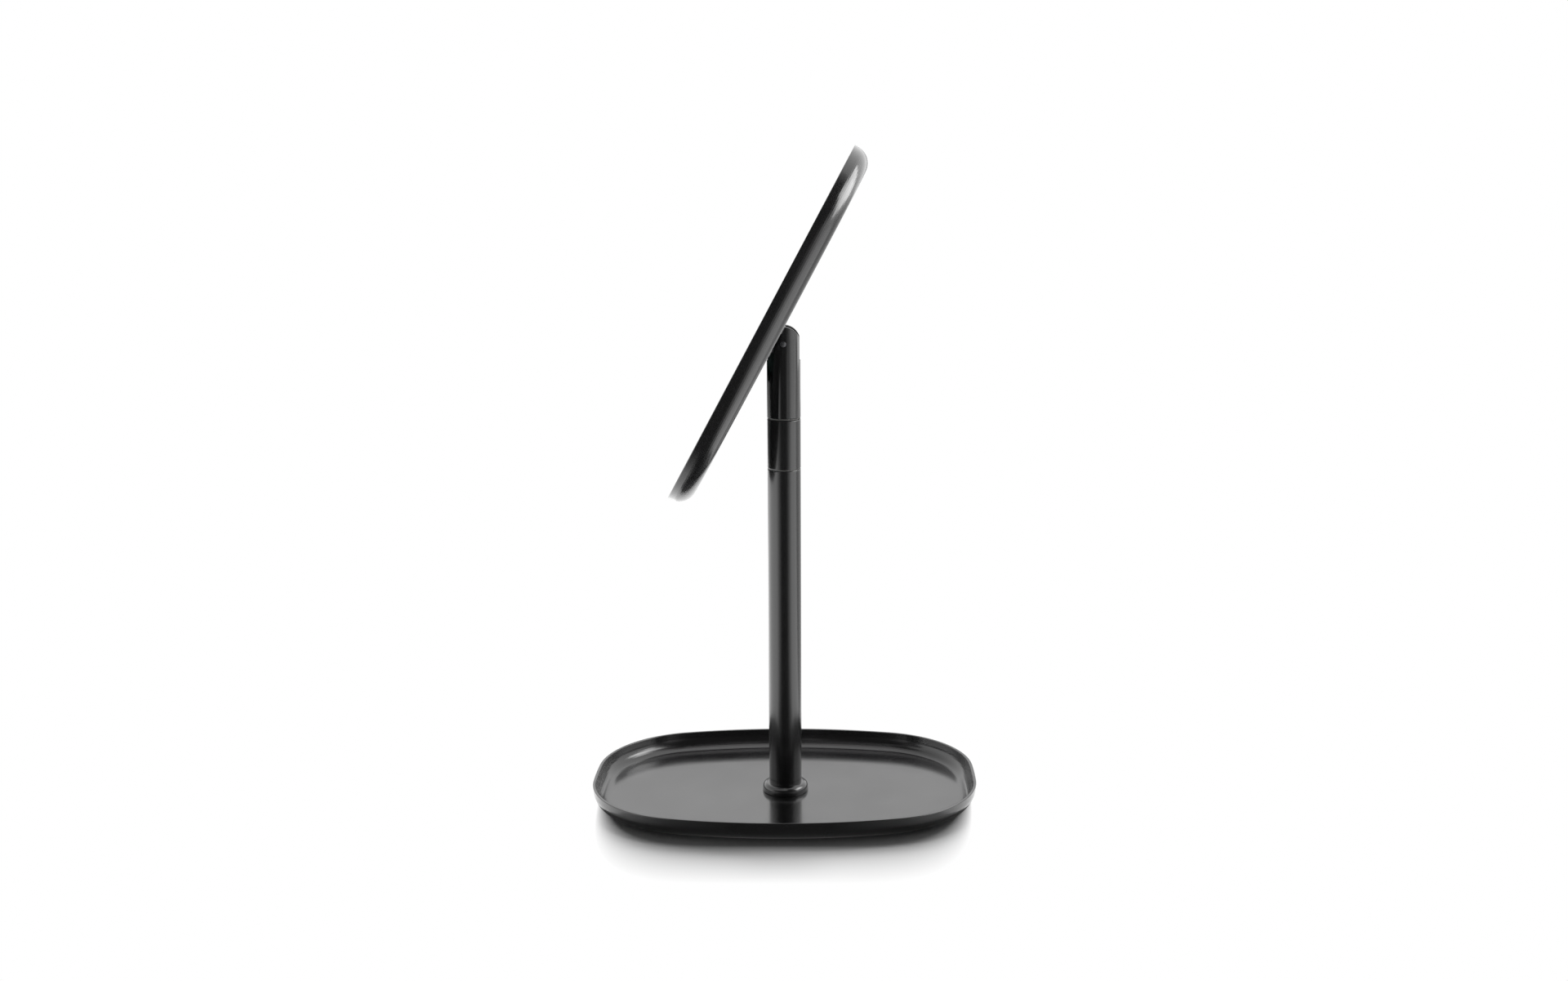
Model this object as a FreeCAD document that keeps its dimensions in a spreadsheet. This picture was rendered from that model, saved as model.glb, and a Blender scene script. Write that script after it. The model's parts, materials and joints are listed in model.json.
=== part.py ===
import FreeCAD, Part
import math
import os
import re

import Sketcher
from FreeCAD import Placement, Rotation, Vector

# Table mirror on a telescopic stem, in millimetres.
# +Z is up, +X runs along the tray, and +Y along the tilt hinge.
# The origin is on the stem's axis, at the level that the tray's pad stands on.
# The mirror is drawn leaning back by rest_tilt, with the mast pushed right down.

SIZES = {
    # Outline that the tray and the mirror share: four shallow sides and four corners.
    "pan_length": 190.0,
    "pan_width": 130.0,
    "long_side_radius": 257.0,
    "short_side_radius": 320.0,
    "corner_radius": 51.0,
    # Pressed sheet of the tray and of the mirror's pan.
    "pan_depth": 10.2,
    "sheet": 1.5,
    "pan_draft": 7.0,
    "pan_bend": 7.0,
    # Under the tray.
    "pad_thickness": 1.0,
    "pad_inset": 12.0,
    "pad_window_radius": 12.5,
    "screw_radius": 3.0,
    "screw_head_radius": 5.2,
    "screw_head_height": 2.0,
    "screw_head_bevel": 0.8,
    "screw_length": 15.0,
    "screw_gap": 0.2,
    "socket_flats": 3.3,
    "socket_depth": 1.2,
    "washer_thickness": 0.8,
    "washer_gap": 0.1,
    "dimple_room": 0.4,
    # Stem.
    "stem_radius": 8.15,
    "stem_wall": 1.5,
    "foot_flange_height": 1.0,
    "foot_height": 6.3,
    "foot_flare": 3.25,
    "foot_lip": 0.4,
    "recess_gap": 0.1,
    "spigot_length": 16.0,
    "lower_tube_length": 157.0,
    "seam_ring_thickness": 0.5,
    "seam_ring_step": 0.15,
    "edge_break": 0.3,
    # Twist lock.
    "collar_length": 24.0,
    "neck_depth": 16.0,
    "thread_length": 14.0,
    "thread_step": 0.15,
    "thread_gap": 0.08,
    "collet_foot": 3.0,
    "collet_step": 0.2,
    "collet_lip": 0.4,
    "collet_slot": 0.8,
    "collet_slot_depth": 4.8,
    "collet_slots": 6.0,
    "grip_gap": 0.05,
    "clear_gap": 0.3,
    "stop_thickness": 2.0,
    # Mast.
    "mast_radius": 5.0,
    "mast_wall": 1.2,
    "guide_length": 10.0,
    "guide_neck_radius": 3.4,
    "guide_slit": 1.0,
    "plug_drop": 9.4,
    "plug_side_gap": 0.8,
    "plug_flange_height": 3.0,
    "plug_shank": 14.0,
    "head_socket": 20.0,
    "head_reach": 36.2,
    # Tilt hinge.
    "rest_tilt": 28.2,
    "centre_above_pivot": 4.0,
    "tongue_thickness": 5.0,
    "tongue_radius": 7.2,
    "tongue_gap": 1.15,
    "friction_disc": 0.5,
    "friction_disc_radius": 6.0,
    "disc_gap": 0.1,
    "pin_radius": 1.5,
    "pin_crown": 0.25,
    "pin_gap": 0.03,
    "bracket_sheet": 1.2,
    "bridge_gap": 0.45,
    "bridge_length": 20.0,
    "web_set_back": 1.0,
    "flange_width": 8.0,
    "rivet_radius": 1.6,
    "rivet_head_radius": 2.8,
    "rivet_head_height": 0.9,
    "rivet_bevel": 0.5,
    "rivet_tail_radius": 2.2,
    "rivet_tail_height": 0.6,
    "rivet_edge": 3.5,
    # Opening in the mirror's back for the head of the stem.
    "opening_gap": 0.5,
    "opening_below": 26.0,
    "opening_above": 8.2,
    # Mirror glass.
    "glass_thickness": 3.0,
    "glass_recess": 1.0,
    "glass_gap": 0.4,
    "glass_clearance": 0.5,
    "backing_inset": 11.0,
    "backing_window_gap": 1.0,
}

# Levels, radii and lengths that follow from the sizes.
DERIVED = {
    # Tray and foot.
    "tray_rim": "pad_thickness + pan_depth",
    "floor_top": "pad_thickness + sheet",
    "dimple_hollow": "screw_head_radius + dimple_room",
    "dimple_radius": "dimple_hollow + sheet",
    "dimple_under": "pad_thickness + screw_head_height + washer_thickness",
    "dimple_top": "dimple_under + sheet",
    "recess_radius": "dimple_radius + recess_gap",
    "flange_top": "floor_top + foot_flange_height",
    "flange_radius": "stem_radius + foot_flare + foot_lip",
    # Stem and twist lock.
    "tube_foot": "floor_top + foot_height",
    "tube_bore": "stem_radius - stem_wall",
    "tube_top": "tube_foot + lower_tube_length",
    "spigot_top": "tube_foot + spigot_length",
    "collar_foot": "tube_top + seam_ring_thickness",
    "collar_top": "collar_foot + collar_length",
    "thread_radius": "tube_bore - thread_step",
    "thread_top": "tube_top + thread_length",
    "collet_radius": "thread_radius - collet_step",
    "collet_top": "thread_top + 2*collet_foot",
    "collet_lip_radius": "mast_radius + collet_lip",
    "neck_foot": "tube_top - neck_depth",
    "stop_foot": "neck_foot - stop_thickness",
    # Mast. It travels from its plug near the foot until its guide meets the stop.
    "mast_clear": "mast_radius + clear_gap",
    "mast_bore": "mast_radius - mast_wall",
    "plug_foot": "spigot_top + plug_drop",
    "plug_flange_top": "plug_foot + plug_flange_height",
    "plug_radius": "tube_bore - plug_side_gap",
    "guide_foot": "plug_flange_top + clear_gap",
    "guide_top": "guide_foot + guide_length",
    "mast_foot": "guide_top + clear_gap",
    "mast_travel": "stop_foot - clear_gap - guide_top",
    "head_ring_foot": "collar_top + clear_gap",
    "head_foot": "head_ring_foot + seam_ring_thickness",
    "pivot_height": "head_foot + head_reach",
    "fork_depth": "tongue_radius + tongue_gap",
    "fork_width": "tongue_thickness + 2*friction_disc + 2*disc_gap",
    # Mirror. The bracket's bridge clears the head, the glass clears the bridge,
    # and the pan lies as far out from the pin as that needs.
    "bridge_under": "stem_radius + bridge_gap",
    "bridge_top": "bridge_under + bracket_sheet",
    "glass_back": "bridge_top + glass_clearance",
    "rim_above_pin": "glass_back + glass_thickness + glass_recess",
    "back_gap": "rim_above_pin - pan_depth",
    "back_inside": "back_gap + sheet",
    "bracket_flange_top": "back_inside + bracket_sheet",
    "opening_half": "stem_radius + opening_gap",
    "web_inside": "opening_half + web_set_back",
    "web_outside": "web_inside + bracket_sheet",
    "bracket_edge": "web_outside + flange_width",
    "rivet_across": "web_outside + flange_width/2",
    "rivet_along": "bridge_length/2 - rivet_edge",
}

WORD = re.compile(r"[A-Za-z_]+")


def sheet_text(expression):
    """Write an expression in the sheet's cells, with the derived names spelled out."""
    def spell(match):
        word = match.group(0)
        if word in DERIVED:
            return "(" + sheet_text(DERIVED[word]) + ")"
        if word in SIZES:
            return "Sizes." + word
        return word
    return WORD.sub(spell, expression)


def number(expression):
    """The present value of an expression."""
    value = sheet.evalExpression(sheet_text(expression))
    return float(getattr(value, "Value", value))


def bind(item, name, expression):
    item.setExpression(name, sheet_text(expression))


doc = FreeCAD.newDocument("table_mirror")
sheet = doc.addObject("Spreadsheet::Sheet", "Sizes")
for row, (alias, size) in enumerate(SIZES.items(), start=1):
    sheet.set("A%d" % row, alias)
    sheet.set("B%d" % row, str(size))
    sheet.setAlias("B%d" % row, alias)
doc.recompute()


# ---------------------------------------------------------------- drawing helpers

def new_body(label):
    body = doc.addObject("PartDesign::Body", label)
    body.Label = label
    return body


def plane_of(body, role):
    for feature in body.Origin.OriginFeatures:
        if feature.Role == role:
            return feature
    raise ValueError(role)


def new_sketch(body, name, role="XY_Plane", level="0", along="0"):
    """A sketch on one of the body's own planes, raised to a level along its normal."""
    sketch = body.newObject("Sketcher::SketchObject", body.Name + "_" + name)
    sketch.AttachmentSupport = [(plane_of(body, role), "")]
    sketch.MapMode = "FlatFace"
    bind(sketch, "AttachmentOffset.Base.x", along)
    bind(sketch, "AttachmentOffset.Base.z", level)
    return sketch


def constrain(sketch, kind, *items, value=None):
    """Add a constraint. With a value, an expression keeps it up to date."""
    if value is None:
        return sketch.addConstraint(Sketcher.Constraint(kind, *items))
    index = sketch.addConstraint(Sketcher.Constraint(kind, *items, number(value)))
    bind(sketch, "Constraints[%d]" % index, value)
    return index


def place(sketch, item, point, across=None, up=None):
    """Hold a point of the sketch at its distances from the origin."""
    for kind, axis, value in (("DistanceX", -2, across), ("DistanceY", -1, up)):
        if value is None:
            continue
        if abs(number(value)) < 1e-9:
            constrain(sketch, "PointOnObject", item, point, axis)
        elif number(value) > 0:
            constrain(sketch, kind, -1, 1, item, point, value=value)
        else:
            constrain(sketch, kind, item, point, -1, 1, value="-(%s)" % value)


def draw_circle(sketch, radius, across="0", up="0"):
    centre = Vector(number(across), number(up), 0)
    circle = sketch.addGeometry(Part.Circle(centre, Vector(0, 0, 1), number(radius)))
    constrain(sketch, "Radius", circle, value=radius)
    place(sketch, circle, 3, across, up)
    return circle


def draw_polygon(sketch, corners):
    """A closed outline through corners given as pairs of expressions."""
    points = [Vector(number(across), number(up), 0) for across, up in corners]
    lines = []
    for start, end in zip(points, points[1:] + points[:1]):
        lines.append(sketch.addGeometry(Part.LineSegment(start, end)))
    for index, line in enumerate(lines):
        constrain(sketch, "Coincident", line, 2, lines[(index + 1) % len(lines)], 1)
    for line, (across, up) in zip(lines, corners):
        place(sketch, line, 1, across, up)
    return lines


def draw_box(sketch, left, right, low, high):
    return draw_polygon(sketch, [(left, low), (right, low), (right, high), (left, high)])


def draw_arch(sketch, radius, foot, centre_up="0"):
    """Straight sides from a foot, closed by a half circle about the centre."""
    reach = number(radius)
    base = number(foot)
    centre = Vector(0, number(centre_up), 0)
    turn = 0 if base < centre.y else math.pi
    arc = sketch.addGeometry(Part.ArcOfCircle(
        Part.Circle(centre, Vector(0, 0, 1), reach), turn, turn + math.pi))
    side = reach if turn == 0 else -reach
    near = Vector(side, centre.y, 0)
    far = Vector(-side, centre.y, 0)
    first = sketch.addGeometry(Part.LineSegment(Vector(side, base, 0), near))
    last = sketch.addGeometry(Part.LineSegment(far, Vector(-side, base, 0)))
    cross = sketch.addGeometry(Part.LineSegment(Vector(-side, base, 0), Vector(side, base, 0)))
    constrain(sketch, "Tangent", first, 2, arc, 1)
    constrain(sketch, "Tangent", arc, 2, last, 1)
    constrain(sketch, "Coincident", last, 2, cross, 1)
    constrain(sketch, "Coincident", cross, 2, first, 1)
    constrain(sketch, "Horizontal", cross)
    constrain(sketch, "Radius", arc, value=radius)
    place(sketch, arc, 3, "0", centre_up)
    place(sketch, cross, 1, up=foot)


def corner_centre(half_length, half_width, long_radius, short_radius, corner):
    """Centre of the corner arc that touches a long side's arc and a short side's arc."""
    long_centre = Vector(0, half_width - long_radius, 0)
    short_centre = Vector(half_length - short_radius, 0, 0)
    apart = short_centre - long_centre
    gap = apart.Length
    from_long = long_radius - corner
    from_short = short_radius - corner
    along = (gap ** 2 + from_long ** 2 - from_short ** 2) / (2 * gap)
    aside = math.sqrt(from_long ** 2 - along ** 2)
    ahead = apart / gap
    square = Vector(ahead.y, -ahead.x, 0)
    return long_centre + ahead * along + square * aside


def draw_soft_rectangle(sketch, inset="0"):
    """Four shallow side arcs joined by four corner arcs, each tangent to the next."""
    half_length = "pan_length/2 - (%s)" % inset
    half_width = "pan_width/2 - (%s)" % inset
    long_text = "long_side_radius - (%s)" % inset
    short_text = "short_side_radius - (%s)" % inset
    corner_text = "corner_radius - (%s)" % inset
    long_radius = number(long_text)
    short_radius = number(short_text)
    corner = number(corner_text)
    middle = corner_centre(number(half_length), number(half_width),
                           long_radius, short_radius, corner)
    to_long = math.atan2(middle.y - number(half_width) + long_radius, middle.x)
    to_short = math.atan2(middle.y, middle.x - number(half_length) + short_radius)
    quarters = [(1, 1), (-1, 1), (-1, -1), (1, -1)]
    arcs = []

    def add(x, y, radius, start, end):
        circle = Part.Circle(Vector(x, y, 0), Vector(0, 0, 1), radius)
        arcs.append(sketch.addGeometry(Part.ArcOfCircle(circle, start, end)))

    side_angles = [(to_long, math.pi - to_long), (math.pi - to_short, math.pi + to_short)]
    corner_angles = [(to_short, to_long), (math.pi - to_long, math.pi - to_short)]
    for index, (sign_x, sign_y) in enumerate(quarters):
        turn = math.pi * (index // 2)
        start, end = corner_angles[index % 2]
        add(sign_x * middle.x, sign_y * middle.y, corner, start + turn, end + turn)
        start, end = side_angles[index % 2]
        if index % 2 == 0:
            add(0, sign_y * (number(half_width) - long_radius), long_radius,
                start + turn, end + turn)
        else:
            add(sign_x * (number(half_length) - short_radius), 0, short_radius,
                start + turn, end + turn)
    for index, arc in enumerate(arcs):
        constrain(sketch, "Tangent", arc, 2, arcs[(index + 1) % 8], 1)
    for sign, arc in ((1, arcs[1]), (-1, arcs[5])):
        constrain(sketch, "Radius", arc, value=long_text)
        place(sketch, arc, 3, "0", "%d*((%s) - (%s))" % (sign, half_width, long_text))
    for sign, arc in ((-1, arcs[3]), (1, arcs[7])):
        constrain(sketch, "Radius", arc, value=short_text)
        place(sketch, arc, 3, "%d*((%s) - (%s))" % (sign, half_length, short_text), "0")
    for arc in arcs[0::2]:
        constrain(sketch, "Radius", arc, value=corner_text)


# ---------------------------------------------------------------- feature helpers

def check_change(body, volume_before, grows):
    """A feature that points the wrong way leaves the volume as it was."""
    change = body.Shape.Volume - volume_before
    if (change > 0) != grows or abs(change) < 1e-6:
        raise ValueError("%s: a feature changed nothing" % body.Label)


def add_feature(body, kind, name, profile, grows, set_up):
    before = body.Shape.Volume if body.Tip and not body.Shape.isNull() else 0.0
    feature = body.newObject("PartDesign::" + kind, body.Name + "_" + name)
    feature.Profile = profile
    set_up(feature)
    profile.Visibility = False
    doc.recompute()
    check_change(body, before, grows)
    return feature


def pad(body, profile, length, reverse=False, both_ways=False, taper=None, name="pad"):
    def set_up(feature):
        bind(feature, "Length", length)
        feature.Reversed = reverse
        feature.Midplane = both_ways
        if taper:
            bind(feature, "TaperAngle", taper)
    return add_feature(body, "Pad", name, profile, True, set_up)


def pocket(body, profile, length, reverse=False, both_ways=False, taper=None, name="pocket"):
    def set_up(feature):
        bind(feature, "Length", length)
        feature.Reversed = reverse
        feature.Midplane = both_ways
        if taper:
            bind(feature, "TaperAngle", taper)
    return add_feature(body, "Pocket", name, profile, False, set_up)


def revolve(body, profile, cut=False, name="turned"):
    def set_up(feature):
        feature.ReferenceAxis = (profile, ["V_Axis"])
        feature.Angle = 360.0
    kind = "Groove" if cut else "Revolution"
    return add_feature(body, kind, name, profile, not cut, set_up)


def edges_where(shape, test):
    return ["Edge%d" % (i + 1) for i, edge in enumerate(shape.Edges) if test(edge)]


def at_height(level):
    """Test for the edges that lie wholly at one height."""
    height = number(level)

    def test(edge):
        box = edge.BoundBox
        return abs(box.ZMin - height) < 1e-4 and abs(box.ZMax - height) < 1e-4
    return test


def ring_at(level, radius):
    """Test for the circular edges about the Z axis at a height and radius."""
    height = number(level)
    reach = number(radius)

    def test(edge):
        box = edge.BoundBox
        flat = abs(box.ZMin - height) < 1e-4 and abs(box.ZMax - height) < 1e-4
        return flat and abs(box.XMax - reach) < 1e-3 and abs(box.XMin + reach) < 1e-3
    return test


def round_edges(body, size, tests, kind="Fillet", name="round"):
    """Fillet or chamfer the edges that pass any of the tests."""
    base = body.Tip
    names = edges_where(base.Shape, lambda edge: any(test(edge) for test in tests))
    if not names:
        raise ValueError("%s: no edge to round" % body.Label)
    feature = body.newObject("PartDesign::" + kind, body.Name + "_" + name)
    feature.Base = (base, names)
    bind(feature, "Radius" if kind == "Fillet" else "Size", size)
    doc.recompute()
    if "Invalid" in feature.State:
        raise ValueError("%s: the %s failed" % (body.Label, name))
    return feature


def pattern(body, feature, count, name="pattern"):
    """Repeat a feature round the Z axis."""
    polar = body.newObject("PartDesign::PolarPattern", body.Name + "_" + name)
    polar.Originals = [feature]
    polar.Axis = (plane_of(body, "Z_Axis"), [""])
    polar.Angle = 360.0
    bind(polar, "Occurrences", count)
    body.Tip = polar
    doc.recompute()
    return polar


def turned(label, corners):
    """A part turned about the Z axis from half its section."""
    body = new_body(label)
    section = new_sketch(body, "section", "XZ_Plane")
    draw_polygon(section, corners)
    revolve(body, section)
    return body


def ring(label, inner, outer, low, high):
    """A plain tube or disc about the Z axis."""
    body = new_body(label)
    section = new_sketch(body, "section", level=low)
    draw_circle(section, outer)
    draw_circle(section, inner)
    pad(body, section, "(%s) - (%s)" % (high, low))
    return body


def lean(body):
    """Carry a piece drawn in the mirror's own frame to the pivot, at the rest tilt."""
    body.Placement = Placement(Vector(0, 0, 0), Rotation(Vector(0, -1, 0), 45))
    bind(body, "Placement.Base.z", "pivot_height")
    bind(body, "Placement.Rotation.Angle", "(90 - rest_tilt)*1 deg")


# ---------------------------------------------------------------- tray and foot

def pressed_pan(label, rim, centre="0"):
    """A shallow pan pressed from sheet, open upwards, with its rim at a level."""
    body = new_body(label)
    outside = new_sketch(body, "outline", level=rim, along=centre)
    draw_soft_rectangle(outside)
    pad(body, outside, "pan_depth", reverse=True, taper="-pan_draft")
    inside = new_sketch(body, "hollow_outline", level=rim, along=centre)
    draw_soft_rectangle(inside, "sheet")
    pocket(body, inside, "pan_depth - sheet", taper="-pan_draft", name="hollow")
    bottom = "(%s) - pan_depth" % rim
    floor = "%s + sheet" % bottom
    round_edges(body, "pan_bend - sheet", [at_height(floor)], name="inner_bend")
    round_edges(body, "pan_bend", [at_height(bottom)], name="bend")
    round_edges(body, "edge_break", [at_height(rim)], kind="Chamfer", name="rim_break")
    return body


def tray():
    """The tray, with a raised dimple over the screw that holds the stem."""
    body = pressed_pan("tray", "tray_rim")
    rise = new_sketch(body, "dimple_outline", level="pad_thickness")
    draw_circle(rise, "dimple_radius")
    pad(body, rise, "dimple_top - pad_thickness", name="dimple")
    under = new_sketch(body, "dimple_hollow", level="pad_thickness")
    draw_circle(under, "dimple_hollow")
    pocket(body, under, "dimple_under - pad_thickness", reverse=True, name="dimple_hollow")
    hole = new_sketch(body, "screw_hole", level="dimple_top")
    draw_circle(hole, "screw_radius + screw_gap")
    pocket(body, hole, "2*sheet", name="screw_hole")
    return body


def foot_pad():
    body = new_body("foot_pad")
    outline = new_sketch(body, "outline")
    draw_soft_rectangle(outline, "pad_inset")
    draw_circle(outline, "pad_window_radius")
    pad(body, outline, "pad_thickness")
    return body


def base_screw():
    """Button-headed screw that pulls the stem down on the tray."""
    head_top = "pad_thickness + screw_head_height"
    body = turned("base_screw", [
        ("0", "pad_thickness"),
        ("screw_head_radius", "pad_thickness"),
        ("screw_head_radius", head_top),
        ("screw_radius", head_top),
        ("screw_radius", "%s + screw_length" % head_top),
        ("0", "%s + screw_length" % head_top)])
    round_edges(body, "screw_head_bevel",
                [ring_at("pad_thickness", "screw_head_radius")], kind="Chamfer")
    socket = new_sketch(body, "socket", level="pad_thickness")
    draw_polygon(socket, hexagon("socket_flats/2"))
    pocket(body, socket, "socket_depth", reverse=True, name="socket")
    return body


def hexagon(half_across):
    """Corners of a hexagon with two flats across Y."""
    corner = "(%s)/cos(30)" % half_across
    half = "(%s)*tan(30)" % half_across
    return [(corner, "0"), (half, half_across), ("-%s" % half, half_across),
            ("-%s" % corner, "0"), ("-%s" % half, "-(%s)" % half_across),
            (half, "-(%s)" % half_across)]


def foot_collar():
    """Flared foot of the stem. Its spigot centres the tube and takes the screw."""
    body = turned("foot_collar", [
        ("screw_radius", "dimple_top"),
        ("recess_radius", "dimple_top"),
        ("recess_radius", "floor_top"),
        ("flange_radius", "floor_top"),
        ("flange_radius", "flange_top"),
        ("stem_radius", "flange_top"),
        ("stem_radius", "tube_foot"),
        ("tube_bore", "tube_foot"),
        ("tube_bore", "spigot_top"),
        ("screw_radius", "spigot_top")])
    round_edges(body, "foot_flare", [ring_at("flange_top", "stem_radius")], name="flare")
    round_edges(body, "edge_break", [ring_at("flange_top", "flange_radius")],
                kind="Chamfer", name="rim")
    return body


# ---------------------------------------------------------------- stem and twist lock

def lower_tube():
    body = ring("lower_tube", "tube_bore", "stem_radius", "tube_foot", "tube_top")
    round_edges(body, "edge_break", [ring_at("tube_top", "stem_radius"),
                                     ring_at("tube_foot", "stem_radius")], kind="Chamfer")
    return body


def neck_bush():
    """Bush set in the top of the tube. Its neck carries the lock collar's thread."""
    return turned("neck_bush", [
        ("mast_clear", "neck_foot"),
        ("tube_bore", "neck_foot"),
        ("tube_bore", "tube_top"),
        ("thread_radius", "tube_top"),
        ("thread_radius", "thread_top"),
        ("mast_clear", "thread_top")])


def collet():
    """Split nylon ring that the lock collar squeezes on the mast."""
    body = turned("collet", [
        ("mast_radius + grip_gap", "thread_top"),
        ("collet_radius", "thread_top"),
        ("collet_radius", "thread_top + collet_foot"),
        ("collet_lip_radius", "collet_top"),
        ("mast_radius + grip_gap", "collet_top")])
    slot = new_sketch(body, "slot", level="collet_top")
    draw_box(slot, "0", "2*mast_radius", "-collet_slot/2", "collet_slot/2")
    cut = pocket(body, slot, "collet_slot_depth", name="slot")
    pattern(body, cut, "collet_slots")
    return body


def lock_collar():
    """Twist collar. Its inner cone closes the collet."""
    thread_bore = "thread_radius + thread_gap"
    cone_top = "collet_top + 2*clear_gap"
    body = turned("lock_collar", [
        (thread_bore, "collar_foot"),
        ("stem_radius", "collar_foot"),
        ("stem_radius", "collar_top"),
        ("mast_clear", "collar_top"),
        ("mast_clear", cone_top),
        ("collet_lip_radius + clear_gap", cone_top),
        (thread_bore, "thread_top + collet_foot + clear_gap")])
    round_edges(body, "edge_break", [ring_at("collar_foot", "stem_radius"),
                                     ring_at("collar_top", "stem_radius")], kind="Chamfer")
    return body


# ---------------------------------------------------------------- mast

def guide_bush():
    """Split nylon bush that keeps the mast central in the tube and stops its travel."""
    body = ring("guide_bush", "guide_neck_radius + grip_gap", "tube_bore - grip_gap",
                "guide_foot", "guide_top")
    slit = new_sketch(body, "slit", level="guide_top")
    draw_box(slit, "0", "2*tube_bore", "-guide_slit/2", "guide_slit/2")
    pocket(body, slit, "guide_length", name="slit")
    return body


def end_plug():
    """Plug in the mast's foot, with the neck that the guide bush snaps round."""
    return turned("end_plug", [
        ("0", "plug_foot"),
        ("plug_radius", "plug_foot"),
        ("plug_radius", "plug_flange_top"),
        ("guide_neck_radius", "plug_flange_top"),
        ("guide_neck_radius", "mast_foot"),
        ("mast_bore", "mast_foot"),
        ("mast_bore", "mast_foot + plug_shank"),
        ("0", "mast_foot + plug_shank")])


def head():
    """Head of the mast: round top about the pivot, slotted for the mirror's tongue."""
    body = new_body("head")
    barrel = new_sketch(body, "barrel", level="head_foot")
    draw_circle(barrel, "stem_radius")
    pad(body, barrel, "head_reach + 2*stem_radius", name="barrel")
    round_edges(body, "edge_break", [ring_at("head_foot", "stem_radius")], kind="Chamfer")
    socket = new_sketch(body, "socket", level="head_foot")
    draw_circle(socket, "mast_radius")
    pocket(body, socket, "head_socket", reverse=True, name="socket")
    top = new_sketch(body, "round_top", "XZ_Plane")
    draw_arch(top, "stem_radius", "head_foot - head_reach", "pivot_height")
    draw_box(top, "-2*stem_radius", "2*stem_radius", "head_foot - 2*head_reach",
             "pivot_height + 3*stem_radius")
    pocket(body, top, "3*stem_radius", both_ways=True, name="round_top")
    slot = new_sketch(body, "fork", "YZ_Plane")
    draw_box(slot, "-fork_width/2", "fork_width/2", "pivot_height - fork_depth",
             "pivot_height + 2*stem_radius")
    pocket(body, slot, "3*stem_radius", both_ways=True, name="fork")
    bore = new_sketch(body, "pin_bore", "XZ_Plane")
    draw_circle(bore, "pin_radius", up="pivot_height")
    pocket(body, bore, "3*stem_radius", both_ways=True, name="pin_bore")
    return body


def pivot_pin():
    """Hinge pin across the fork, crowned at both ends."""
    half = "stem_radius"
    body = turned("pivot_pin", [
        ("0", "-%s" % half), ("pin_radius - pin_crown", "-%s" % half),
        ("pin_radius", "-%s + pin_crown" % half),
        ("pin_radius", "%s - pin_crown" % half),
        ("pin_radius - pin_crown", half), ("0", half)])
    body.Placement = Placement(Vector(0, 0, 0), Rotation(Vector(1, 0, 0), 90))
    bind(body, "Placement.Base.z", "pivot_height")
    return body


def friction_discs():
    """Two thin discs between the tongue and the fork."""
    body = new_body("friction_discs")
    start = "tongue_thickness/2 + disc_gap"
    for name, level in (("near", "-(%s) - friction_disc" % start), ("far", start)):
        section = new_sketch(body, name, level=level)
        draw_circle(section, "friction_disc_radius")
        draw_circle(section, "pin_radius")
        pad(body, section, "friction_disc", name=name + "_disc")
    body.Placement = Placement(Vector(0, 0, 0), Rotation(Vector(1, 0, 0), 90))
    bind(body, "Placement.Base.z", "pivot_height")
    return body


# ---------------------------------------------------------------- mirror
# These pieces are drawn flat: X up the mirror, Y along the pin, Z out of the glass,
# with the pin's axis at the origin. lean() then carries them to the pivot.

def mirror_pan():
    """The tray's pressing again, with an opening in its back for the stem's head."""
    body = pressed_pan("mirror_pan", "rim_above_pin", "centre_above_pivot")
    opening = new_sketch(body, "opening", level="back_gap")
    draw_box(opening, "-opening_below", "opening_above", "-(opening_half)", "opening_half")
    pocket(body, opening, "2*sheet", reverse=True, name="opening")
    holes = new_sketch(body, "rivet_holes", level="back_gap")
    for across, up in rivet_places():
        draw_circle(holes, "rivet_radius", across, up)
    pocket(body, holes, "2*sheet", reverse=True, name="rivet_holes")
    lean(body)
    return body


def rivet_places():
    """The rivets' centres, two on each flange of the bracket."""
    return [(along + "(rivet_along)", across + "(rivet_across)")
            for along in ("", "-") for across in ("", "-")]


def hinge_bracket():
    """Bracket inside the pan: two flanges, a bridge over the head, and the tongue."""
    body = new_body("hinge_bracket")
    section = new_sketch(body, "section", "YZ_Plane")
    right = [("web_inside", "bridge_under"), ("web_inside", "back_inside"),
             ("bracket_edge", "back_inside"), ("bracket_edge", "bracket_flange_top"),
             ("web_outside", "bracket_flange_top"), ("web_outside", "bridge_top")]
    left = [("-(%s)" % across, up) for across, up in reversed(right)]
    draw_polygon(section, right + left)
    pad(body, section, "bridge_length", both_ways=True, name="hat")
    tongue = new_sketch(body, "tongue", "XZ_Plane")
    draw_arch(tongue, "tongue_radius", "bridge_under + bracket_sheet/2")
    pad(body, tongue, "tongue_thickness", both_ways=True, name="tongue")
    bore = new_sketch(body, "pin_bore", "XZ_Plane")
    draw_circle(bore, "pin_radius + pin_gap")
    pocket(body, bore, "2*tongue_thickness", both_ways=True, name="pin_bore")
    holes = new_sketch(body, "rivet_holes", level="bracket_flange_top")
    for along, across in rivet_places():
        draw_circle(holes, "rivet_radius", along, across)
    pocket(body, holes, "2*bracket_sheet", name="rivet_holes")
    lean(body)
    return body


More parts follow.
